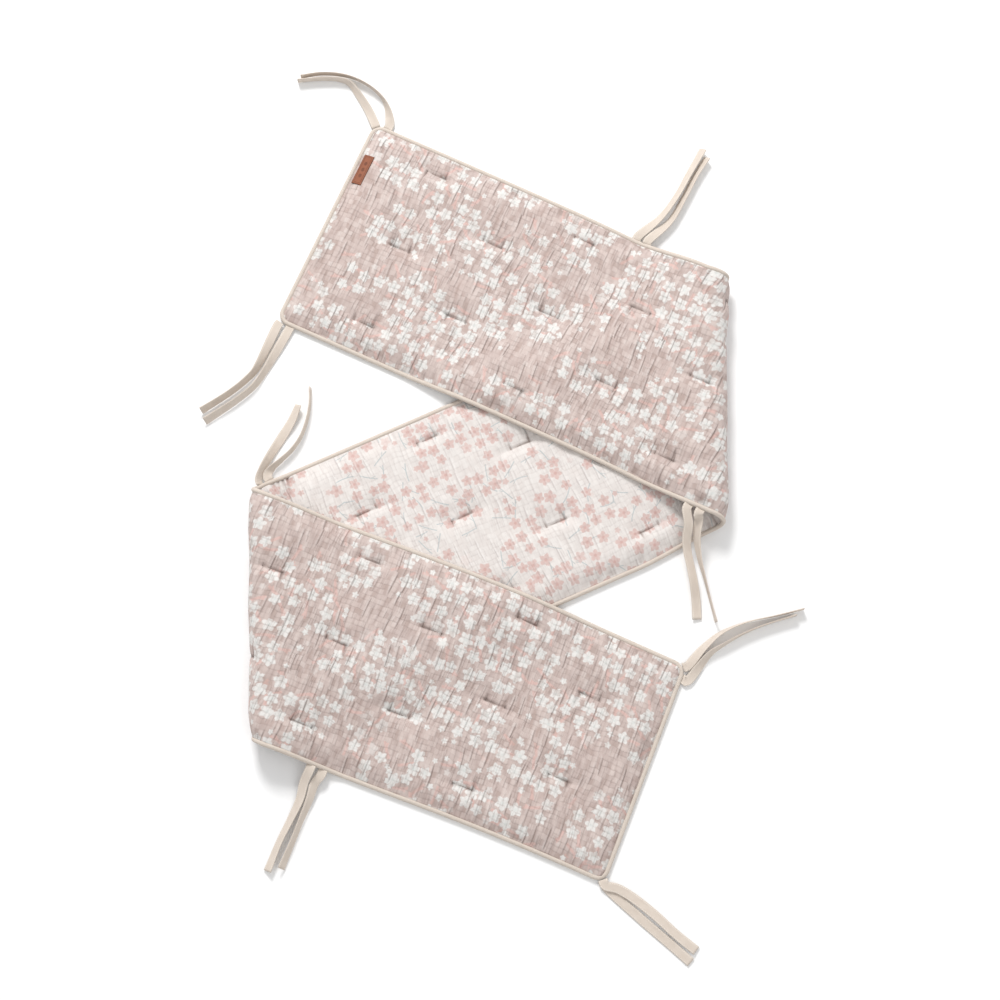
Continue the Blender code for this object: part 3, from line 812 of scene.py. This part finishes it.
def blossoms(cloth, cell, radius, gate, shift=0.0):
    """Scattered blossoms of five pointed petals: masks of the whole, the heart and the petals' lines."""
    dx, dy, point, chance = cloth.scattered(cell, gate["loose"], shift)
    away = (dx * dx + dy * dy).math("SQRT")
    size = radius[0] + chance[0] * (radius[1] - radius[0])
    angle = dy.math("ARCTAN2", dx) + chance[1] * TURN
    wave = angle * 2.5
    lobe = abs(wave.math("COSINE")) * 0.55 + (1 - abs(wave.math("SINE"))) * 0.45
    ragged = cloth.noise(cloth.u / 2.6, cloth.v / 2.6) * 0.22 - 0.11
    edge = size * (lobe * 0.38 + 0.62 + ragged)
    grown = cloth.patches(point, cell, gate)
    kept = chance[2].step(gate["spare"], gate["spare"] + 0.01)
    grows = grown.step(gate["from"], gate["from"] + 0.02) * kept
    grows = grows * grown.step(gate["until"] + 0.02, gate["until"])
    mask = ((edge - away) * 0.70 + 0.5).clamp() * grows
    heart = (away / size).step(0.34, 0.12) * grows
    lines = (1 - lobe).step(0.50, 0.95) * (away / size).step(0.15, 0.45) * grows
    return mask, heart, lines


def twigs(cloth, cell, long, width, gate, shift):
    """Short bent twigs with a fork, one to a cell, where the print grows."""
    dx, dy, point, chance = cloth.scattered(cell, 0.9, shift)
    turn = chance[0] * TURN
    sine, cosine = turn.math("SINE"), turn.math("COSINE")
    along, aside = dx * cosine + dy * sine, dy * cosine - dx * sine
    bent = aside + along * along * ((chance[1] - 0.5) * TWIG_BEND)
    stem = abs(bent).step(width, width * 0.45) * abs(along).step(long, long * 0.9)
    fork = abs(bent - abs(along) * 0.62 + 1.5).step(width * 0.8, width * 0.35)
    fork = fork * along.step(long * 0.7, long * 0.6) * along.step(0.0, 0.5) * bent.step(0.0, 0.3)
    grows = cloth.patches(point, cell, gate).step(gate["from"] - 0.03, gate["from"])
    return (stem + fork).clamp() * grows


def painted_pinch_shade(cloth):
    """Painted shade: how deep in a stitched hollow or a pleat a point is, and the shaded side of each stitch.
    """
    node = cloth.tree.nodes.new("ShaderNodeAttribute")
    node.attribute_name = "pinch_shade"
    return Term(cloth.tree, node.outputs["Fac"]).math("POWER", PINCH_SHADE_POWER)


def ground_shades(cloth, bands, patch, shades):
    """The plain ground: two shades in soft patches, and a paler one painted on the raised bands as a
    highlight.
    """
    tone = cloth.noise(cloth.u / patch, cloth.v / patch, detail=2.0)
    ground = cloth.mix(tone, shades[0], shades[1])
    return cloth.mix(bands.step(0.35, 0.70), ground, shades[2])


def face_cloth():
    """The face: dusty pink gauze with white blossoms on salmon twigs."""
    cloth = Cloth("muslin_face")
    strong, ridge_highlight, fine, pockets, bands, height = muslin_relief(cloth, 0.0)
    gate = {"size": 64.0, "from": 0.450, "until": 2.0, "spare": 0.05, "loose": 0.42}
    few = {"size": 64.0, "from": 0.37, "until": 0.44, "spare": 0.40, "loose": 0.8}
    twig = twigs(cloth, 25.0, 12.5, 2.5, gate, shift=9.0)
    small, _, _ = blossoms(cloth, 13.5, (3.4, 5.2), few)
    large, heart, lines = blossoms(cloth, 19.5, (7.8, 10.2), gate)
    color = cloth.layers(
        ground_shades(cloth, bands, 60, FACE["ground"]),
        (twig, 0.80, FACE["twig"]),
        (small, 1.0, FACE["flower"]),
        (large, 0.96, FACE["flower"]),
        (large * lines, 0.26, FACE["petal"]),
        (large * heart, 0.34, FACE["heart"]),
        # Painted highlight on the raised bands and ridges; painted shade in the low bands, pocket edges,
        # creases, stitched hollows and pleats
        (bands.step(0.62, 0.82), 0.22, FACE["ridge_highlight"]),
        (bands.step(0.46, 0.24), 0.32, FACE["hollow_shade"]),
        (ridge_highlight, 0.26, FACE["ridge_highlight"]),
        ((pockets * 0.34 + fine * 0.22).clamp(), 1.0, FACE["pocket_and_crease_shade"]),
        (strong, 0.54, FACE["crease_shade"]),
        (painted_pinch_shade(cloth), 0.90, FACE["pinch_shade"]),
    )
    return cloth.finish(color, height, strength=0.6, distance=0.0011, roughness=0.92, sheen=0.1)


def reverse_cloth():
    """The reverse: ivory gauze with salmon blossoms on grey-blue twigs."""
    cloth = Cloth("muslin_reverse")
    strong, ridge_highlight, fine, pockets, bands, height = muslin_relief(cloth, 170.0)
    gate = {"size": 66.0, "from": 0.450, "until": 2.0, "spare": 0.08, "loose": 0.45}
    few = {"size": 66.0, "from": 0.38, "until": 0.45, "spare": 0.45, "loose": 0.8}
    twig = twigs(cloth, 27.0, 13.0, 1.0, gate, shift=90.0)
    small, _, _ = blossoms(cloth, 14.5, (3.4, 5.0), few, shift=201.0)
    large, heart, lines = blossoms(cloth, 19.0, (7.0, 9.2), gate, shift=201.0)
    color = cloth.layers(
        ground_shades(cloth, bands, 50, REVERSE["ground"]),
        (twig, 0.75, REVERSE["twig"]),
        (small, 0.9, REVERSE["flower"]),
        (large, 0.94, REVERSE["flower"]),
        (large * lines, 0.25, REVERSE["petal"]),
        (large * heart, 0.45, REVERSE["heart"]),
        # Painted highlight on the ridges; painted shade along the pocket edges, creases, stitched hollows and
        # pleats
        (ridge_highlight, 0.30, REVERSE["ridge_highlight"]),
        ((pockets * 0.24 + fine * 0.12).clamp(), 1.0, REVERSE["pocket_and_crease_shade"]),
        (strong, 0.24, REVERSE["crease_shade"]),
        (painted_pinch_shade(cloth), 0.86, REVERSE["pinch_shade"]),
    )
    return cloth.finish(color, height, strength=0.5, distance=0.0011, roughness=0.92, sheen=0.1)


def piping_cloth():
    """Cream cotton cut on the bias."""
    cloth = Cloth("piping_cotton")
    slant = (cloth.u + cloth.v).wave(1.3)
    other = (cloth.u - cloth.v).wave(1.3)
    tone = cloth.noise(cloth.u / 9, cloth.v / 9, detail=2.0)
    color = cloth.mix(tone, (0.640, 0.555, 0.485), (0.705, 0.630, 0.560))
    color = cloth.mix((slant * other + 1) * 0.10, color, (0.52, 0.43, 0.34))
    pucker = cloth.noise(cloth.u / 2.4, cloth.v / 8.0)
    height = slant * other * 0.4 + pucker
    return cloth.finish(color, height, strength=0.5, distance=0.0006, roughness=0.88, sheen=0.1)


def tape_cloth():
    """Cream cotton tape, woven across, with a row of stitches along each edge."""
    cloth = Cloth("tie_tape")
    rib = cloth.u.wave(0.9)
    tone = cloth.noise(cloth.u / 12, cloth.v / 6, detail=2.0)
    color = cloth.mix(tone, (0.620, 0.535, 0.460), (0.690, 0.610, 0.535))
    from_edge = abs(abs(cloth.v) - 4.6)
    row = from_edge.step(0.45, 0.15)
    stitch = row * abs((cloth.u / 2.6).math("FRACT") - 0.5).step(0.42, 0.34)
    color = cloth.mix(row * 0.35, color, (0.50, 0.41, 0.33))
    color = cloth.mix(stitch * 0.8, color, (0.86, 0.80, 0.72))
    height = rib * 0.25 - row * 0.8 + stitch * 0.9 + tone
    return cloth.finish(color, height, strength=0.5, distance=0.0005, roughness=0.9, sheen=0.1)


def leather():
    """Vegetable-tanned leather with darker cut edges, a plain pressed border and three small ovals."""
    cloth = Cloth("tab_leather")
    grain = cloth.noise(cloth.u * 1.6, cloth.v * 1.6, detail=4.0, roughness=0.6)
    tone = cloth.noise(cloth.u / 7, cloth.v / 7, detail=2.0)
    color = cloth.mix(tone, (0.230, 0.080, 0.042), (0.300, 0.108, 0.058))
    # The tab's middle and half its sides, in millimetres
    middle_u, middle_v = 500 * sum(TAB_U), 500 * sum(TAB_V)
    past_side = abs(cloth.u - middle_u) - 500 * (TAB_U[1] - TAB_U[0])
    past_end = abs(cloth.v - middle_v) - 500 * (TAB_V[1] - TAB_V[0])
    to_edge = past_side.math("MAXIMUM", past_end)
    color = cloth.mix(to_edge.step(-1.2, 0.0) * 0.7, color, (0.100, 0.034, 0.018))
    pressed = abs(to_edge + 2.4).step(0.45, 0.1)
    leaf_v = abs((cloth.v - middle_v) / 9).math("PINGPONG", 0.5) * 9
    leaf = ((cloth.u - middle_u) * (cloth.u - middle_u) / 5.0 + leaf_v * leaf_v / 9.0).step(1.0, 0.7)
    leaf = leaf * abs(cloth.v - middle_v).step(14.5, 13.5)
    color = cloth.mix((pressed * 0.6 + leaf * 0.7).clamp(), color, (0.130, 0.044, 0.024))
    height = grain * 0.35 - pressed - leaf
    return cloth.finish(color, height, strength=0.5, distance=0.0006, roughness=0.55)


def thread_with_groove_shade():
    """Sewing thread, twisted, coloured dark as the painted shade of the groove it lies in."""
    cloth = Cloth("tuft_thread_groove_shade")
    twist = (cloth.u + cloth.v * 2).wave(0.8)
    color = cloth.mix((twist + 1) * 0.25, (0.26, 0.19, 0.165), (0.15, 0.105, 0.09))
    return cloth.finish(color, twist, strength=0.4, distance=0.0003, roughness=0.8)


# -------------------- pieces


def spaced(stops, fine_at, fine, coarse, reach):
    """Positions between the two stops: fine steps within reach of fine_at, coarse ones elsewhere."""
    places = [stops[0]]
    while places[-1] < stops[1]:
        near = min(abs(places[-1] + fine / 2 - spot) for spot in fine_at)
        places.append(places[-1] + (fine if near < reach else coarse))
    places = np.array(places)
    return stops[0] + (places - stops[0]) * (stops[1] - stops[0]) / (places[-1] - stops[0])


def round_corners(u, v):
    """Turns the sheet's square corners into quarter circles."""
    r = CORNER_RADIUS
    middle_u, middle_v = STRIP_LENGTH / 2, STRIP_WIDTH / 2
    a = np.clip((np.abs(u - middle_u) - (middle_u - SEAM - r)) / r, 0.0, 1.0)
    b = np.clip((np.abs(v - middle_v) - (middle_v - SEAM - r)) / r, 0.0, 1.0)
    new_a = a * np.sqrt(1 - b**2 / 2)
    new_b = b * np.sqrt(1 - a**2 / 2)
    return u + np.sign(u - middle_u) * (new_a - a) * r, v + np.sign(v - middle_v) * (new_b - b) * r


def add_panel():
    """The quilted panel, one closed solid: the face on one side and the reverse on the other."""
    detail = {round(u + s * TUFT_LENGTH / 2, 5) for u, _ in tuft_places() for s in (-1, 1)}
    detail = sorted(detail | {pleat[0] for pleat in PLEATS})
    along = spaced((SEAM, STRIP_LENGTH - SEAM), detail, 0.0014, 0.0044, 0.0042)
    sides = (SEAM, STRIP_WIDTH - SEAM)
    across = spaced(sides, (*sides, *TUFT_ROWS), 0.0014, 0.0050, 0.0055)
    flat_u, flat_v = np.meshgrid(along, across, indexing="ij")
    u, v = round_corners(flat_u, flat_v)
    face, reverse, face_pinch_shade, back_pinch_shade = panel_sides(u, v)
    pinch_shade = np.concatenate([face_pinch_shade.ravel(), back_pinch_shade.ravel()])
    uvs = np.stack([u, v], axis=-1).reshape(-1, 2)
    cloths = [face_cloth(), reverse_cloth()]
    return slab("quilted_panel", face, reverse, uvs, cloths, bottom_index=1, pinch_shade=pinch_shade)


def piping_route():
    """The piping's middle line round the strip, as (u, v) points of one closed loop."""
    r = CORNER_RADIUS + 0.0036
    step = 0.0035
    length, width, inset = STRIP_LENGTH - PIPING_RADIUS, STRIP_WIDTH - PIPING_RADIUS, PIPING_RADIUS
    corners = (
        (length - r, inset + r, -90, (length, inset + r), (length, width - r)),
        (length - r, width - r, 0, (length - r, width), (inset + r, width)),
        (inset + r, width - r, 90, (inset, width - r), (inset, inset + r)),
        (inset + r, inset + r, 180, (inset + r, inset), (length - r, inset)),
    )
    route = []
    for corner_u, corner_v, start, begin, end in corners:
        for degrees in np.linspace(start, start + 90, 8)[:-1]:
            angle = math.radians(degrees)
            route.append((corner_u + r * math.cos(angle), corner_v + r * math.sin(angle)))
        begin, end = np.array(begin), np.array(end)
        count = round(np.linalg.norm(end - begin) / step)
        route += [tuple(begin + (end - begin) * k / count) for k in range(count)]
    return np.array(route)


def add_piping():
    """The piping: one closed tube along the seam."""
    route = piping_route()
    middle = sagged(route[:, 0], route[:, 1])[0]
    normal = face_normal(route[:, 0], route[:, 1])
    radius = PIPING_RADIUS
    return tube("edge_piping", middle, 12, (radius, radius), normal, True, piping_cloth())


def add_tab():
    """The leather tab, its corners eased and its edges rounded over."""
    u, v = np.meshgrid(np.linspace(*TAB_U, 15), np.linspace(*TAB_V, 40), indexing="ij")
    du = np.minimum(u - TAB_U[0], TAB_U[1] - u)
    dv = np.minimum(v - TAB_V[0], TAB_V[1] - v)
    ease = np.clip(1 - np.minimum(du, dv) / TAB_EDGE, 0, 1) ** 2 * TAB_EASE
    face = panel_sides(u, v, detailed=False)[0]
    normal = face_normal(u, v)
    top = face + normal * (TAB_LIFT + TAB_THICKNESS - ease)[..., None]
    bottom = face + normal * (TAB_LIFT + ease)[..., None]
    uvs = np.stack([u, v], axis=-1).reshape(-1, 2)
    return slab("leather_tab", top, bottom, uvs, [leather()])


def add_threads():
    """The tufting stitches that show, one short run of thread in each groove of the two free sides."""
    material = thread_with_groove_shade()
    pieces = []
    for tuft_u, tuft_v in tuft_places():
        u = tuft_u + np.linspace(-0.44, 0.44, 9) * TUFT_LENGTH
        v = np.full(u.shape, tuft_v)
        face, reverse = panel_sides(u, v)[:2]
        normal = face_normal(u, v)
        turned = lay(u, v)[2]
        ends = np.linspace(-1, 1, 9) ** 4 * THREAD_DIP
        for side, line, shown in ((1, face, turned), (-1, reverse, 1 - turned)):
            if shown.mean() > 0.5:
                path = line + side * normal * (0.0001 - ends)[:, None]
                pieces.append(tube("stitch", path, 6, THREAD_RADII, normal, False, material))
    return join(pieces, "tuft_stitches")


def join(objects, name):
    """Several objects as one."""
    with bpy.context.temp_override(active_object=objects[0], selected_editable_objects=objects):
        bpy.ops.object.join()
    objects[0].name = name
    objects[0].data.name = name
    return objects[0]


def tape_route(tie):
    """A tail's middle line at even steps, as rows of x, y, z, roll and the way it runs."""
    seam = np.array(tie["sewn"])
    inside = seam - 0.005 * np.array(tie["out"])
    sewn = sagged(seam[0], seam[1])[0] + (0.0, 0.0, tie.get("rise", 0.0))
    out = (sewn - sagged(inside[0], inside[1])[0]) * (1.0, 1.0, 0.0)
    out /= np.linalg.norm(out)
    roll = math.radians(tie.get("roll", 0))
    rows = [(*(sewn - TAPE_ROOT * out), roll), (*(sewn + TAPE_LEAD * out), roll)]
    for x, y, lower, degrees in tie["route"]:
        turn = math.radians(degrees)
        half = TAPE_WIDTH / 2 * abs(math.sin(turn)) + TAPE_THICKNESS / 2 * math.cos(turn)
        rows.append((x, y, lower + half, turn))
    knots = np.array(rows)
    padded = np.concatenate([[2 * knots[0] - knots[1]], knots, [2 * knots[-1] - knots[-2]]])
    fine = []
    for p0, p1, p2, p3 in zip(padded, padded[1:], padded[2:], padded[3:]):
        for t in np.arange(0, 1, 0.05):
            bend = (2 * p0 - 5 * p1 + 4 * p2 - p3) * t**2 + (3 * p1 - 3 * p2 + p3 - p0) * t**3
            fine.append(0.5 * (2 * p1 + (p2 - p0) * t + bend))
    fine = np.array(fine + [knots[-1]])
    fine = np.concatenate([fine, np.gradient(fine[:, :3], axis=0)], axis=1)
    reached = run_length(fine[:, :3])
    stops = np.linspace(0, reached[-1], round(reached[-1] / TAPE_STEP) + 1)
    return np.stack([np.interp(stops, reached, column) for column in fine.T], axis=1), reached[-1]


def add_tape(name, tie, material):
    """One free tail of a tie: a flat tape with soft edges and a turned hem at its end."""
    route, length = tape_route(tie)
    tangent = unit(route[:, 4:])
    flat = unit(np.cross(tangent, (0.0, 0.0, 1.0)))
    up = np.cross(flat, tangent)
    turn = route[:, 3:4]
    side = flat * np.cos(turn) + up * np.sin(turn)
    top = up * np.cos(turn) - flat * np.sin(turn)
    # The section's upper half from edge to edge, as shares of the half width and height
    across = np.array([-1.0, -0.97, -0.85, -0.5, 0.0, 0.5, 0.85, 0.97, 1.0])
    over = np.array([0.0, 0.7, 1.0, 0.86, 0.82, 0.86, 1.0, 0.7, 0.0])
    ring_across = np.concatenate([across, across[-2:0:-1]])
    ring_over = np.concatenate([over, -over[-2:0:-1]])
    reached = np.linspace(0, length, len(route))
    hem = 1 + 0.35 * smooth((reached - (length - TAPE_HEM)) / 0.001)
    verts = route[:, None, :3] + side[:, None] * ring_across[None, :, None] * TAPE_WIDTH / 2
    swell = np.minimum(ring_over[None, :] * hem[:, None], 1.25) * 0.42 * TAPE_THICKNESS
    verts = verts + top[:, None] * swell[..., None]
    count, sides = verts.shape[:2]
    uvs = np.stack(np.broadcast_arrays(reached[:, None], ring_across[None] * TAPE_WIDTH / 2), axis=-1)
    faces = ring_faces(count, sides)
    obj = add_object(name, verts.reshape(-1, 3), faces, uvs.reshape(-1, 2), [material])
    cap_ends(obj)
    outward(obj)
    return obj, route[:, :3], length


def add_camera(middle):
    """The camera, south of straight above."""
    camera = bpy.data.objects.new("camera", bpy.data.cameras.new("camera"))
    bpy.context.collection.objects.link(camera)
    target = middle + Vector(LOOK_AT)
    camera.location = target + DISTANCE * Vector((0, -math.sin(TILT), math.cos(TILT)))
    camera.rotation_euler = (TILT, 0, 0)
    camera.data.lens = LENS
    camera.data.sensor_width = 36.0
    camera.data.clip_end = 50.0
    bpy.context.scene.camera = camera


def add_stage():
    """A plain pale floor under a soft light from beyond the bumper, with an even fill."""
    bpy.ops.mesh.primitive_plane_add(size=30.0, location=(0, 0, -0.0005))
    floor = bpy.context.object
    floor.name = "floor"
    paint = bpy.data.materials.new("floor_paint")
    paint.use_nodes = True
    shader = paint.node_tree.nodes["Principled BSDF"]
    shader.inputs["Base Color"].default_value = (0.93, 0.93, 0.93, 1.0)
    shader.inputs["Roughness"].default_value = 0.9
    shader.inputs["Specular IOR Level"].default_value = 0.1
    floor.data.materials.append(paint)
    for name, place, size, power in (
        ("key", (-0.9, 3.4, 3.1), 1.3, 172.0),
        ("fill", (1.6, -1.6, 3.4), 3.0, 26.0),
    ):
        lamp = bpy.data.lights.new(name, "AREA")
        lamp.energy = power
        lamp.size = size
        light = bpy.data.objects.new(name, lamp)
        light.location = place
        light.rotation_euler = (-Vector(place)).to_track_quat("-Z", "Y").to_euler()
        bpy.context.collection.objects.link(light)
    world = bpy.data.worlds.new("studio")
    world.use_nodes = True
    world.node_tree.nodes["Background"].inputs[0].default_value = (1.0, 1.0, 1.0, 1.0)
    world.node_tree.nodes["Background"].inputs[1].default_value = 0.64
    bpy.context.scene.world = world
    bpy.context.scene.view_settings.view_transform = "Standard"


def main():
    # The strip's middle in the frame: its piping fills the CAD piping's box
    route = piping_route()
    outline = sagged(route[:, 0], route[:, 1])[0]
    low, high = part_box("piping")
    middle = Vector((0.0, 0.0, 0.0))
    for k in range(2):
        middle[k] = (low[k] + high[k]) / 2 - (outline[:, k].min() + outline[:, k].max()) / 2
    add_camera(middle)
    add_stage()
    tape = tape_cloth()
    for name, tie in TIES.items():
        tail, path, length = add_tape("tape_" + name[4:], tie, tape)
        tail.data.transform(Matrix.Translation(middle))
        path = [tuple(Vector(p) + middle) for p in path]
        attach(tail, "root")
        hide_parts(name)
    for obj, node, slot in (
        (add_panel(), "panel", "muslin"),
        (add_piping(), "piping", "trim"),
        (add_tab(), "tab", "leather"),
        (add_threads(), None, "trim"),
    ):
        obj.data.transform(Matrix.Translation(middle))
        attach(obj, "root")
        if node:
            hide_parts(node)


main()
